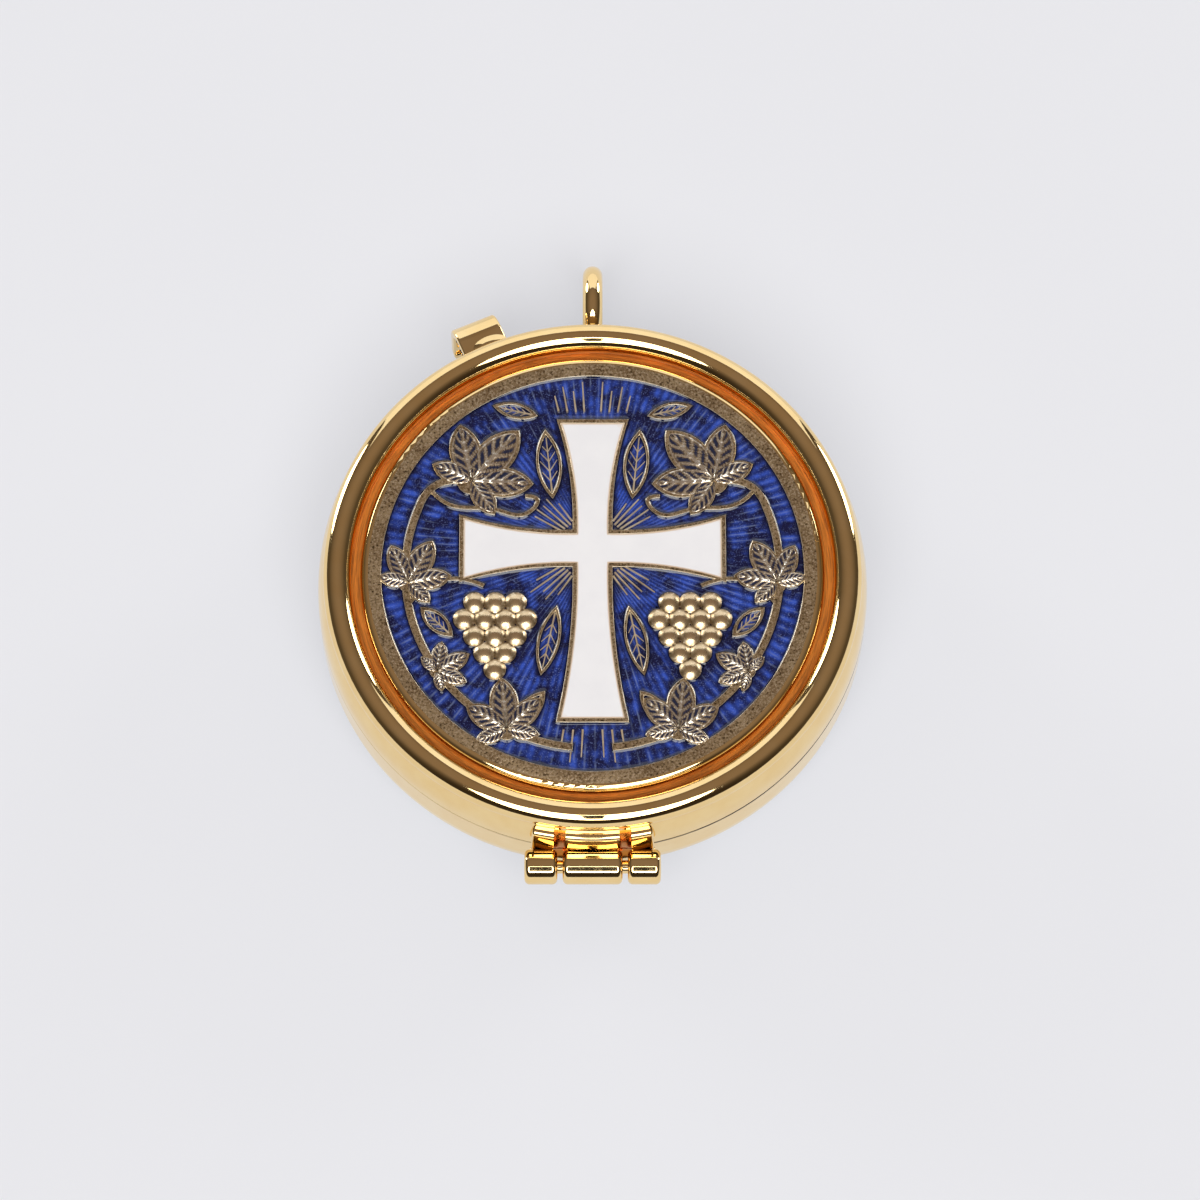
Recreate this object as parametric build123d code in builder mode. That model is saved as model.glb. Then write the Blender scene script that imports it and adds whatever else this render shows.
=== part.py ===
"""A pyx: a small round hinged case with an enamelled medallion on its lid.

Millimetres, +Z up. The origin is the centre of the flat underside. The hinge
is on the -Y side and the suspension ring on the +Y side.
"""
import os
from math import asin, cos, degrees, hypot, radians, sin, sqrt

from build123d import *

# Case
case_radius = 27.0
base_height = 9.2
base_corner_radius = 5.6
base_wall = 1.2
floor_thickness = 1.0
seam_gap = 0.1
seam_lip_radius = 0.14

# Seat collar inside the base
collar_thickness = 0.8
collar_rise = 1.8
collar_depth = 3.0
collar_clearance = 0.15
collar_chamfer = 0.25

# Lid
lid_wall_height = 4.0
lid_wall_lean = 0.75
bead_radius = 1.38
bead_overhang = 0.12
recess_depth = 2.3
panel_thickness = 0.7

# Medallion
medallion_gap = 0.9
medallion_thickness = 1.55
medallion_edge_radius = 0.75
border_width = 1.3
cell_depth = 0.5
blue_drop = 0.12
white_drop = 0.03

# Ornament in the medallion
line_width = 0.45
cross_centre_y = 2.4
cross_waist = 1.5
cross_flare = 3.1
cross_top = 13.2
cross_foot = 17.6
cross_side = 12.6
stem_width = 0.75
tendril_width = 0.4
outline_width = 0.26
grape_radius = 1.08
grape_pitch = 2.0
grape_rise = 0.42
grape_rows = (3, 4, 3, 2, 1)
bunch_x = 9.5
bunch_y = -3.3
stem_radius = 18.3
stem_start = -84.0
stem_arc = 106.0
shoot_points = ((17.0, 6.8), (15.6, 8.9), (12.0, 9.4))
bunch_stalk_points = ((17.9, -3.4), (14.6, -0.9), (10.6, -1.5))
tendril_points = ((15.9, 8.6), (13.4, 6.8), (9.6, 6.5), (6.4, 6.1), (5.4, 7.4), (6.6, 7.9))
# Leaf foot X and Y, heading in degrees, then size, or length and width
vine_leaves = (
    (11.9, 9.5, 131.0, 7.1),
    (8.3, -16.4, 84.0, 5.4),
    (18.0, -1.2, 118.0, 5.0),
    (15.1, -10.4, 150.0, 3.6),
)
outline_leaves = (
    (3.9, 7.6, 84.0, 7.4, 2.5),
    (3.5, -3.6, -78.0, 7.4, 2.2),
    (4.6, -12.4, -52.0, 5.0, 2.0),
    (5.4, 16.4, 14.0, 4.6, 1.7),
    (13.6, -6.8, 44.0, 4.4, 1.9),
)

# Hinge
knuckle_radius = 1.7
knuckle_wall_gap = 0.15
outer_knuckle_length = 3.2
centre_knuckle_length = 5.8
knuckle_gap = 0.5
knuckle_round = 0.5
pin_radius = 0.65
pin_running_clearance = 0.04
pin_press_clearance = 0.01
pin_recess = 0.05
pin_chamfer = 0.15
leaf_thickness = 0.68
leaf_half_angle = 12.6
leaf_drop = 3.4
leaf_clearance = 0.2
leaf_seam_gap = 0.05
leaf_top_drop = 0.65
leaf_edge_radius = 0.45
leaf_end_radius = 0.3
groove_width = 1.15
groove_floor = 0.2

# Latch
latch_angle = 23.4
latch_reach = 4.2
latch_width = 4.6
latch_thickness = 0.85
latch_height = 2.8
latch_bend_radius = 1.8
latch_edge_radius = 0.25
latch_root_clearance = 0.1
hook_depth = 3.0
hook_reach = 0.25
hook_bend_radius = 0.58
catch_width = 3.6
catch_height = 1.2
catch_clearance = 0.15
catch_edge_radius = 0.25

# Suspension ring
ring_wire_radius = 1.0
ring_bore_radius = 2.75
ring_land_depth = 0.1
ring_centre_height = 5.3
ring_sink = 0.4

# Places that follow from the sizes above
seam_z = base_height + seam_gap / 2
lid_z = base_height + seam_gap
lid_top_radius = case_radius - lid_wall_lean
bead_centre_radius = lid_top_radius + bead_overhang - bead_radius
bead_centre_z = lid_z + lid_wall_height
lid_top_z = bead_centre_z + bead_radius
recess_radius = bead_centre_radius - bead_radius
recess_z = lid_top_z - recess_depth
panel_z = recess_z - panel_thickness
collar_radius = case_radius - base_wall
collar_inner_radius = collar_radius - collar_thickness
lid_inner_radius = collar_radius + collar_clearance
medallion_radius = recess_radius - medallion_gap
medallion_z = recess_z + medallion_thickness
field_radius = medallion_radius - medallion_edge_radius - border_width
hinge_y = -(case_radius + knuckle_wall_gap + knuckle_radius)
centre_end = centre_knuckle_length / 2
outer_start = centre_end + knuckle_gap
outer_end = outer_start + outer_knuckle_length
hinge_plane = Plane(origin=(0, hinge_y, seam_z), x_dir=(0, 1, 0), z_dir=(1, 0, 0))
side_plane = Plane.XZ

os.makedirs("parts", exist_ok=True)


def radial_plane(angle):
    """An upright plane through the case axis, its X pointing out at an angle."""
    across = radians(angle)
    return Plane(
        origin=(0, 0, 0),
        x_dir=(cos(across), sin(across), 0),
        z_dir=(sin(across), -cos(across), 0),
    )


def from_axis(edge):
    """Distance of the middle of an edge from the case axis."""
    return hypot(edge.center().X, edge.center().Y)


leaf_plane = radial_plane(-90 - leaf_half_angle)
latch_plane = radial_plane(90 + latch_angle)


# Envelopes used to cope the soldered pieces to the walls
with BuildPart() as base_envelope:
    with BuildSketch(side_plane) as profile:
        with BuildLine():
            l1 = Line((0, 0), (case_radius - base_corner_radius, 0))
            corner = RadiusArc(
                l1 @ 1, (case_radius, base_corner_radius), -base_corner_radius
            )
            l2 = Line(corner @ 1, (case_radius, base_height))
            l3 = Line(l2 @ 1, (0, base_height))
            Line(l3 @ 1, l1 @ 0)
        make_face()
    revolve(axis=Axis.Z)

lid_bulge = (lid_wall_height**2 + lid_wall_lean**2) / (2 * lid_wall_lean)


def lid_wall_radius(z, grow=0.0):
    """Radius of the leaning lid wall at a height, or of a surface outside it."""
    return case_radius - lid_bulge + sqrt(lid_bulge**2 - (z - lid_z) ** 2) + grow


def lid_envelope(grow):
    """The lid wall filled to its axis, grown outward by an even amount."""
    with BuildPart() as envelope:
        with BuildSketch(side_plane):
            with BuildLine():
                low = (case_radius + grow, lid_z)
                high = (lid_top_radius + grow, bead_centre_z)
                middle_z = lid_z + lid_wall_height / 2
                middle = (lid_wall_radius(middle_z, grow), middle_z)
                arc = ThreePointArc(low, middle, high)
                rise = Line(arc @ 1, (lid_top_radius + grow, lid_top_z))
                across = Line(rise @ 1, (0, lid_top_z))
                down = Line(across @ 1, (0, lid_z - seam_gap))
                out = Line(down @ 1, (case_radius + grow, lid_z - seam_gap))
                Line(out @ 1, arc @ 0)
            make_face()
            with Locations((bead_centre_radius, bead_centre_z)):
                Circle(bead_radius + grow)
        revolve(axis=Axis.Z)
    return envelope.part


# Base cup: flat underside, round corner, straight wall, step for the collar
with BuildPart() as base_cup:
    add(base_envelope.part)
    with BuildSketch(side_plane) as hollow:
        with BuildLine():
            inner_corner = base_corner_radius - floor_thickness
            h1 = Line(
                (0, floor_thickness),
                (collar_inner_radius - inner_corner, floor_thickness),
            )
            h2 = RadiusArc(
                h1 @ 1,
                (collar_inner_radius, floor_thickness + inner_corner),
                -inner_corner,
            )
            h3 = Line(h2 @ 1, (collar_inner_radius, base_height - collar_depth))
            h4 = Line(h3 @ 1, (collar_radius, base_height - collar_depth))
            h5 = Line(h4 @ 1, (collar_radius, base_height))
            h6 = Line(h5 @ 1, (0, base_height))
            Line(h6 @ 1, h1 @ 0)
        make_face()
    revolve(axis=Axis.Z, mode=Mode.SUBTRACT)
    base_lip = base_cup.edges().group_by(Axis.Z)[-1].sort_by(SortBy.RADIUS)[-1]
    fillet(base_lip, seam_lip_radius)
base_cup.part.label = "base_cup"
export_step(base_cup.part, "parts/base_cup.step")

# Seat collar: ring on the step of the cup, standing up into the lid
with BuildPart() as seat_collar:
    with BuildSketch(Plane.XY.offset(base_height - collar_depth)):
        Circle(collar_radius)
        Circle(collar_inner_radius, mode=Mode.SUBTRACT)
    extrude(amount=collar_depth + collar_rise)
    chamfer(seat_collar.edges().group_by(Axis.Z)[-1], collar_chamfer)
seat_collar.part.label = "seat_collar"
export_step(seat_collar.part, "parts/seat_collar.step")

# Lid shell: leaning wall, round bead and sunk panel in one turned piece
with BuildPart() as lid_shell:
    with BuildSketch(side_plane) as lid_profile:
        with BuildLine():
            w1 = ThreePointArc(
                (case_radius, lid_z),
                (
                    lid_wall_radius(lid_z + lid_wall_height / 2),
                    lid_z + lid_wall_height / 2,
                ),
                (lid_top_radius, bead_centre_z),
            )
            w2 = Line(w1 @ 1, (recess_radius, bead_centre_z))
            w3 = Line(w2 @ 1, (recess_radius, recess_z))
            w4 = Line(w3 @ 1, (0, recess_z))
            w5 = Line(w4 @ 1, (0, panel_z))
            w6 = Line(w5 @ 1, (lid_inner_radius, panel_z))
            w7 = Line(w6 @ 1, (lid_inner_radius, lid_z))
            Line(w7 @ 1, w1 @ 0)
        make_face()
        with Locations((bead_centre_radius, bead_centre_z)):
            Circle(bead_radius)
    revolve(axis=Axis.Z)
lid_shell.part.label = "lid_shell"
export_step(lid_shell.part, "parts/lid_shell.step")


# Ornament: pointed leaves, vine leaves, stems, grapes and a flared cross
def pointed_leaf(x, y, heading, length, width):
    """A leaf of two arcs from its foot to its tip."""
    along = (cos(radians(heading)), sin(radians(heading)))
    across = (-along[1], along[0])
    middle = (x + along[0] * length / 2, y + along[1] * length / 2)
    left = (middle[0] + across[0] * width / 2, middle[1] + across[1] * width / 2)
    right = (middle[0] - across[0] * width / 2, middle[1] - across[1] * width / 2)
    tip = (x + along[0] * length, y + along[1] * length)
    with BuildSketch() as leaf:
        with BuildLine():
            ThreePointArc((x, y), left, tip)
            ThreePointArc(tip, right, (x, y))
        make_face()
    return leaf.sketch


def vine_leaf(x, y, heading, size):
    """A five-lobed leaf, its lobes spread from the foot of the leaf."""
    with BuildSketch() as leaf:
        for turn, share in ((0, 1.0), (52, 0.86), (-52, 0.86), (106, 0.6), (-106, 0.6)):
            add(pointed_leaf(x, y, heading + turn, size * share, size * share * 0.52))
        with Locations((x, y)):
            Circle(size * 0.2)
    return leaf.sketch


def leaf_outline(x, y, heading, length, width):
    """A thin closed line in the shape of a pointed leaf."""
    along = (cos(radians(heading)), sin(radians(heading)))
    inset = 2.2 * outline_width
    with BuildSketch() as leaf:
        add(pointed_leaf(x, y, heading, length, width))
        add(
            pointed_leaf(
                x + along[0] * inset,
                y + along[1] * inset,
                heading,
                length - 2 * inset,
                width - 2 * outline_width,
            ),
            mode=Mode.SUBTRACT,
        )
    return leaf.sketch


def flared_cross(grow):
    """A cross with hollow-sided arms, widened all round by an even amount."""
    waist = cross_waist + grow
    flare = cross_flare + grow
    swell = waist + (flare - waist) * 0.2
    reaches = (
        (0, cross_side),
        (90, cross_top),
        (180, cross_side),
        (270, cross_foot),
    )
    with BuildSketch() as cross:
        for turn, reach in reaches:
            end = reach + grow
            with BuildSketch(mode=Mode.PRIVATE) as arm:
                with BuildLine():
                    Line((0, -waist), (waist, -waist))
                    ThreePointArc(
                        (waist, -waist), ((waist + end) / 2, -swell), (end, -flare)
                    )
                    Line((end, -flare), (end, flare))
                    ThreePointArc(
                        (end, flare), ((waist + end) / 2, swell), (waist, waist)
                    )
                    Line((waist, waist), (0, waist))
                    Line((0, waist), (0, -waist))
                make_face()
            with Locations(Location((0, cross_centre_y, 0), (0, 0, turn))):
                add(arm.sketch)
    return cross.sketch


grape_places = []
for row, count in enumerate(grape_rows):
    for place in range(count):
        across = (place - (count - 1) / 2) * grape_pitch
        down = row * grape_pitch * sqrt(3) / 2
        grape_places.append((bunch_x + across, bunch_y - down))
grape_places += [(-x, y) for x, y in grape_places]

with BuildSketch() as half_ornament:
    with BuildLine():
        CenterArc((0, 0), stem_radius, stem_start, stem_arc)
    trace(line_width=stem_width)
    with BuildLine():
        Spline(*shoot_points)
    trace(line_width=stem_width)
    with BuildLine():
        Spline(*bunch_stalk_points)
    trace(line_width=tendril_width)
    with BuildLine():
        Spline(*tendril_points)
    trace(line_width=tendril_width)
    for x, y, heading, size in vine_leaves:
        add(vine_leaf(x, y, heading, size))
    for x, y, heading, length, width in outline_leaves:
        add(leaf_outline(x, y, heading, length, width))

with BuildSketch() as grape_field:
    with Locations(*grape_places):
        Circle(grape_radius)

# The metal that stays level with the border, and the cells between
with BuildSketch(Plane.XY.offset(medallion_z)) as white_cells:
    add(flared_cross(0))
    Circle(field_radius - line_width, mode=Mode.INTERSECT)

with BuildSketch(Plane.XY.offset(medallion_z)) as blue_cells:
    Circle(field_radius)
    add(flared_cross(line_width), mode=Mode.SUBTRACT)
    add(half_ornament.sketch, mode=Mode.SUBTRACT)
    add(mirror(half_ornament.sketch, Plane.YZ, mode=Mode.PRIVATE), mode=Mode.SUBTRACT)
    add(grape_field.sketch, mode=Mode.SUBTRACT)

# Medallion plate: rounded edge, plain border, cells sunk to one depth, grapes
grape_ball = (grape_radius**2 + grape_rise**2) / (2 * grape_rise)
with BuildPart() as medallion_plate:
    with BuildSketch(Plane.XY.offset(recess_z)):
        Circle(medallion_radius)
    extrude(amount=medallion_thickness)
    fillet(medallion_plate.edges().group_by(Axis.Z)[-1], medallion_edge_radius)
    extrude(white_cells.sketch, amount=-cell_depth, mode=Mode.SUBTRACT)
    extrude(blue_cells.sketch, amount=-cell_depth, mode=Mode.SUBTRACT)
    with Locations(*[(x, y, medallion_z) for x, y in grape_places]):
        Sphere(
            grape_ball,
            arc_size1=degrees(asin((grape_ball - grape_rise) / grape_ball)),
            align=(Align.CENTER, Align.CENTER, Align.MIN),
        )
medallion_plate.part.label = "medallion_plate"
export_step(medallion_plate.part, "parts/medallion_plate.step")

# Enamel: each cell filled to a little under the metal lines
with BuildPart() as blue_enamel:
    extrude(blue_cells.sketch.moved(Location((0, 0, -blue_drop))), amount=blue_drop - cell_depth)
blue_enamel.part.label = "blue_enamel"
export_step(blue_enamel.part, "parts/blue_enamel.step")

with BuildPart() as white_enamel:
    extrude(white_cells.sketch.moved(Location((0, 0, -white_drop))), amount=white_drop - cell_depth)
white_enamel.part.label = "white_enamel"
export_step(white_enamel.part, "parts/white_enamel.step")


# Hinge
def hinge_cylinder(radius, start, end):
    """A solid rod on the hinge line between two places along X."""
    with BuildPart() as rod:
        with BuildSketch(hinge_plane.offset(start)):
            Circle(radius)
        extrude(amount=end - start)
    return rod.part


def knuckle(start, end, bore):
    """A tube on the hinge line with rounded ends."""
    with BuildPart() as tube:
        with BuildSketch(hinge_plane.offset(start)):
            Circle(knuckle_radius)
        extrude(amount=end - start)
        fillet(tube.edges().filter_by(GeomType.CIRCLE), knuckle_round)
        with BuildSketch(hinge_plane.offset(start)):
            Circle(bore)
        extrude(amount=end - start, mode=Mode.SUBTRACT)
    return tube.part


with BuildPart() as hinge_knuckle_left:
    add(knuckle(-outer_end, -outer_start, pin_radius + pin_running_clearance))
hinge_knuckle_left.part.label = "hinge_knuckle_left"
export_step(hinge_knuckle_left.part, "parts/hinge_knuckle_left.step")

with BuildPart() as hinge_knuckle_right:
    add(knuckle(outer_start, outer_end, pin_radius + pin_running_clearance))
hinge_knuckle_right.part.label = "hinge_knuckle_right"
export_step(hinge_knuckle_right.part, "parts/hinge_knuckle_right.step")

with BuildPart() as hinge_knuckle_centre:
    add(knuckle(-centre_end, centre_end, pin_radius + pin_press_clearance))
hinge_knuckle_centre.part.label = "hinge_knuckle_centre"
export_step(hinge_knuckle_centre.part, "parts/hinge_knuckle_centre.step")

with BuildPart() as hinge_pin:
    add(hinge_cylinder(pin_radius, pin_recess - outer_end, outer_end - pin_recess))
    chamfer(hinge_pin.edges().filter_by(GeomType.CIRCLE), pin_chamfer)
hinge_pin.part.label = "hinge_pin"
export_step(hinge_pin.part, "parts/hinge_pin.step")

# Lid bearer: follows the leaning wall, seats the outer tubes, clears the centre
leaf_low = lid_z + leaf_seam_gap
leaf_high = lid_z + lid_wall_height - bead_overhang - leaf_top_drop
leaf_middle = (leaf_low + leaf_high) / 2
with BuildPart() as lid_hinge_leaf:
    with BuildSketch(leaf_plane):
        with BuildLine():
            Polyline(
                (lid_wall_radius(leaf_high) - leaf_thickness, leaf_low),
                (lid_wall_radius(leaf_low, leaf_thickness), leaf_low),
                (lid_wall_radius(leaf_high, leaf_thickness), leaf_high),
                (lid_wall_radius(leaf_high) - leaf_thickness, leaf_high),
                close=True,
            )
        section = make_face()
        outer_top = section.vertices().group_by(Axis.Y)[-1].sort_by(Axis.X)[-1]
        fillet(outer_top, leaf_edge_radius)
    revolve(axis=Axis.Z, revolution_arc=2 * leaf_half_angle)
    end_faces = lid_hinge_leaf.faces().sort_by(Axis.X)
    end_edges = end_faces[0].edges() + end_faces[-1].edges()
    raised_edges = end_edges.filter_by(lambda edge: edge.center().Z > leaf_low + leaf_edge_radius)
    inside_wall = lid_wall_radius(leaf_high) - leaf_thickness / 2
    fillet(raised_edges.filter_by(lambda edge: from_axis(edge) > inside_wall), leaf_end_radius)
    add(lid_envelope(0), mode=Mode.SUBTRACT)
    groove_angle = degrees(asin((outer_start - knuckle_gap / 2) / case_radius))
    groove_arc = degrees(groove_width / case_radius)
    for turn in (-groove_angle, groove_angle):
        groove_plane = radial_plane(-90 + turn - groove_arc / 2)
        with BuildSketch(groove_plane):
            with BuildLine():
                groove_floor_line = ThreePointArc(
                    (lid_wall_radius(lid_z, groove_floor), lid_z),
                    (lid_wall_radius(leaf_middle, groove_floor), leaf_middle),
                    (lid_wall_radius(bead_centre_z, groove_floor), bead_centre_z),
                )
                Polyline(
                    groove_floor_line @ 1,
                    (case_radius + 2 * leaf_thickness, bead_centre_z),
                    (case_radius + 2 * leaf_thickness, lid_z),
                    groove_floor_line @ 0,
                )
            make_face()
        revolve(axis=Axis.Z, revolution_arc=groove_arc, mode=Mode.SUBTRACT)
    add(hinge_cylinder(knuckle_radius + leaf_clearance, -outer_start, outer_start), mode=Mode.SUBTRACT)
    add(hinge_cylinder(knuckle_radius, outer_start, 2 * outer_end), mode=Mode.SUBTRACT)
    add(hinge_cylinder(knuckle_radius, -2 * outer_end, -outer_start), mode=Mode.SUBTRACT)
lid_hinge_leaf.part.label = "lid_hinge_leaf"
export_step(lid_hinge_leaf.part, "parts/lid_hinge_leaf.step")

# Base bearer: seats the centre tube and clears the outer ones
base_leaf_high = base_height - leaf_seam_gap
base_leaf_low = base_height - leaf_drop
with BuildPart() as base_hinge_leaf:
    with BuildSketch(leaf_plane):
        with Locations((case_radius, base_leaf_low)):
            block = Rectangle(
                2 * leaf_thickness,
                base_leaf_high - base_leaf_low,
                align=(Align.CENTER, Align.MIN),
            )
        outer_foot = block.vertices().group_by(Axis.Y)[0].sort_by(Axis.X)[-1]
        fillet(outer_foot, leaf_edge_radius)
    revolve(axis=Axis.Z, revolution_arc=2 * leaf_half_angle)
    add(base_envelope.part, mode=Mode.SUBTRACT)
    add(hinge_cylinder(knuckle_radius, -centre_end, centre_end), mode=Mode.SUBTRACT)
    far_end = 2 * outer_end
    add(hinge_cylinder(knuckle_radius + leaf_clearance, centre_end, far_end), mode=Mode.SUBTRACT)
    add(hinge_cylinder(knuckle_radius + leaf_clearance, -far_end, -centre_end), mode=Mode.SUBTRACT)
base_hinge_leaf.part.label = "base_hinge_leaf"
export_step(base_hinge_leaf.part, "parts/base_hinge_leaf.step")

# Latch: a bent strip from the lid wall, hooked at its lower end
flange_z = lid_z + latch_height - latch_thickness / 2
latch_out = lid_top_radius + latch_reach
leg_radius = latch_out - latch_thickness / 2
hook_end = latch_out - latch_thickness - hook_reach
hook_z = base_height - hook_depth - latch_thickness / 2
with BuildPart() as latch_clip:
    with BuildSketch(latch_plane):
        with BuildLine():
            FilletPolyline(
                (lid_top_radius - latch_thickness, flange_z),
                (leg_radius, flange_z),
                (leg_radius, hook_z),
                (hook_end, hook_z),
                radius=(latch_bend_radius, hook_bend_radius),
            )
        trace(line_width=latch_thickness)
    extrude(amount=latch_width / 2, both=True)
    sides = latch_clip.faces().filter_by(Axis((0, 0, 0), latch_plane.z_dir))
    fillet(sides.edges(), latch_edge_radius)
    add(lid_envelope(latch_root_clearance), mode=Mode.SUBTRACT)
latch_clip.part.label = "latch_clip"
export_step(latch_clip.part, "parts/latch_clip.step")

# Catch: a bar on the cup wall just above the hook
catch_reach = hook_end - catch_clearance - case_radius
catch_low = base_height - hook_depth + catch_clearance
with BuildPart() as latch_catch:
    with BuildSketch(latch_plane):
        with Locations((case_radius - catch_reach, catch_low)):
            Rectangle(2 * catch_reach, catch_height, align=(Align.MIN, Align.MIN))
    extrude(amount=catch_width / 2, both=True)
    outer_face = latch_catch.faces().sort_by(Axis((0, 0, 0), latch_plane.x_dir))[-1]
    fillet(outer_face.edges(), catch_edge_radius)
    add(base_envelope.part, mode=Mode.SUBTRACT)
latch_catch.part.label = "latch_catch"
export_step(latch_catch.part, "parts/latch_catch.step")

# Suspension ring: round wire with a short straight land in its hole
ring_line_radius = ring_bore_radius - ring_land_depth + ring_wire_radius
ring_y = case_radius - ring_sink + ring_line_radius + ring_wire_radius
ring_axis = Axis((0, ring_y, ring_centre_height), (1, 0, 0))
with BuildPart() as suspension_ring:
    with BuildSketch(Plane(origin=(0, ring_y, ring_centre_height), x_dir=(0, 1, 0), z_dir=(0, 0, 1))):
        with Locations((ring_line_radius, 0)):
            Circle(ring_wire_radius)
        Rectangle(2 * ring_bore_radius, 4 * ring_wire_radius, mode=Mode.SUBTRACT)
    revolve(axis=ring_axis)
    add(base_envelope.part, mode=Mode.SUBTRACT)
suspension_ring.part.label = "suspension_ring"
export_step(suspension_ring.part, "parts/suspension_ring.step")
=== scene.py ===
# %% [markdown]
# # A pyx and its finishes
# A pyx is a small round case of gilt brass in which altar breads are carried. The measured case comes
# from CAD as fixed nodes, and this lesson gives it its polish, its enamel and its studio.
# The frame is loaded first, because every piece below is placed by it and rides on one of its bodies.

# %% Load the measured case
import math

import bmesh
import bpy
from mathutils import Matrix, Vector
from mathutils.kdtree import KDTree


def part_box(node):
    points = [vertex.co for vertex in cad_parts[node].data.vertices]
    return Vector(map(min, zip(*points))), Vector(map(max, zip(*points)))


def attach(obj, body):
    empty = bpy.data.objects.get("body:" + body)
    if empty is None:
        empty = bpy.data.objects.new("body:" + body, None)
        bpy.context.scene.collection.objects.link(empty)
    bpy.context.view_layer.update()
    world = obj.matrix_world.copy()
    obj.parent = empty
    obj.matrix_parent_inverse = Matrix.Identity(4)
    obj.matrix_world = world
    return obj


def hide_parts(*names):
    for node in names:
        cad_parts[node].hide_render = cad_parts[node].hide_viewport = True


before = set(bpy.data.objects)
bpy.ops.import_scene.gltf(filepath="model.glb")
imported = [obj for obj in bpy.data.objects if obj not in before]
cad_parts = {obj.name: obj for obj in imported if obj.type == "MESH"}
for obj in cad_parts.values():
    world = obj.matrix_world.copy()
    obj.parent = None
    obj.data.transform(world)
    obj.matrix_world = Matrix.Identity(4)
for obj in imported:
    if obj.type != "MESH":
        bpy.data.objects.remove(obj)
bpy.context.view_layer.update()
MM = 0.001
print("nodes:", ", ".join(sorted(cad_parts)))

# %% [markdown]
# The case has one plain family of finishes. Each is a procedural material, and what several of them
# share, such as the tiny unevenness of plating, is a node group. A group could hold a whole shader, but
# then its values could not be read from outside, so groups here hand out only masks and heights.

# %% Helpers for node trees
def add_node(tree, kind, **values):
    """A node with some of its inputs set by name."""
    node = tree.nodes.new(kind)
    for name, value in values.items():
        node.inputs[name.replace("_", " ")].default_value = value
    return node


def math_node(tree, operation, first, second=None):
    """One step of arithmetic. Each side is a socket or a number."""
    node = tree.nodes.new("ShaderNodeMath")
    node.operation = operation
    for place, value in enumerate((first, second)):
        if isinstance(value, bpy.types.NodeSocket):
            tree.links.new(value, node.inputs[place])
        elif value is not None:
            node.inputs[place].default_value = value
    return node.outputs[0]


def mix_colours(tree, share, first, second):
    """A blend of two colours, each a socket or four numbers."""
    node = tree.nodes.new("ShaderNodeMix")
    node.data_type = "RGBA"
    tree.links.new(share, node.inputs["Factor"])
    for name, value in (("A", first), ("B", second)):
        socket = next(s for s in node.inputs if s.name == name and s.type == "RGBA")
        if isinstance(value, bpy.types.NodeSocket):
            tree.links.new(value, socket)
        else:
            socket.default_value = value
    return next(s for s in node.outputs if s.type == "RGBA")


def spread(tree, value, low, high, to_low=0.0, to_high=1.0):
    """A value stretched from one range to another and held inside it."""
    node = tree.nodes.new("ShaderNodeMapRange")
    tree.links.new(value, node.inputs["Value"])
    for name, number in zip(("From Min", "From Max", "To Min", "To Max"), (low, high, to_low, to_high)):
        node.inputs[name].default_value = number
    return node.outputs["Result"]


def object_place(tree):
    """The place of a point on its piece, as a vector socket."""
    return tree.nodes.new("ShaderNodeTexCoord").outputs["Object"]


def noise_at(tree, place, scale, detail, roughness=0.5):
    """A noise read at a place. The scale is a number or a socket."""
    noise = add_node(tree, "ShaderNodeTexNoise", Detail=detail, Roughness=roughness)
    tree.links.new(place, noise.inputs["Vector"])
    if isinstance(scale, bpy.types.NodeSocket):
        tree.links.new(scale, noise.inputs["Scale"])
    else:
        noise.inputs["Scale"].default_value = scale
    return noise.outputs["Fac"]


def new_group(name, inputs, outputs):
    """A shader node group with number inputs and outputs of the named kinds."""
    tree = bpy.data.node_groups.new(name, "ShaderNodeTree")
    for label, value in inputs:
        socket = tree.interface.new_socket(name=label, in_out="INPUT", socket_type="NodeSocketFloat")
        socket.default_value = value
    for label in outputs:
        tree.interface.new_socket(name=label, in_out="OUTPUT", socket_type="NodeSocketFloat")
    return tree, tree.nodes.new("NodeGroupInput").outputs, tree.nodes.new("NodeGroupOutput").inputs


def use_group(tree, group, **values):
    """The outputs of a group placed in a material with its own values."""
    node = tree.nodes.new("ShaderNodeGroup")
    node.node_tree = group
    for name, value in values.items():
        node.inputs[name.replace("_", " ")].default_value = value
    return node.outputs


def new_material(name):
    """A material with an empty Principled shader, ready to be linked."""
    material = bpy.data.materials.new(name)
    material.use_nodes = True
    return material, material.node_tree, material.node_tree.nodes["Principled BSDF"].inputs


def add_bump(tree, shader, height, strength, distance):
    """Fine relief from a height, in metres."""
    bump = add_node(tree, "ShaderNodeBump", Strength=strength, Distance=distance)
    tree.links.new(height, bump.inputs["Height"])
    tree.links.new(bump.outputs["Normal"], shader["Normal"])


print("node helpers ready")

# %% [markdown]
# Plated and polished brass is never quite even. The wheel leaves a soft wave, the plating bath a faint
# change of tone, and use a haze of wipe marks. Two noises at two sizes give these, and because they
# read Object coordinates they stay on the metal when the lid turns.

# %% Plating group
plating, plating_in, plating_out = new_group(
    "plating", [("Wave Size", 3.0), ("Haze Size", 0.9)], ["Tone", "Haze", "Height"]
)
place = object_place(plating)
wave = noise_at(plating, place, math_node(plating, "DIVIDE", 1 / MM, plating_in["Wave Size"]), 2.0, 0.6)
haze = noise_at(plating, place, math_node(plating, "DIVIDE", 1 / MM, plating_in["Haze Size"]), 5.0, 0.6)
plating.links.new(spread(plating, wave, 0.3, 0.7), plating_out["Tone"])
plating.links.new(spread(plating, haze, 0.3, 0.7), plating_out["Haze"])
plating.links.new(wave, plating_out["Height"])
print("group:", plating.name)

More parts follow.
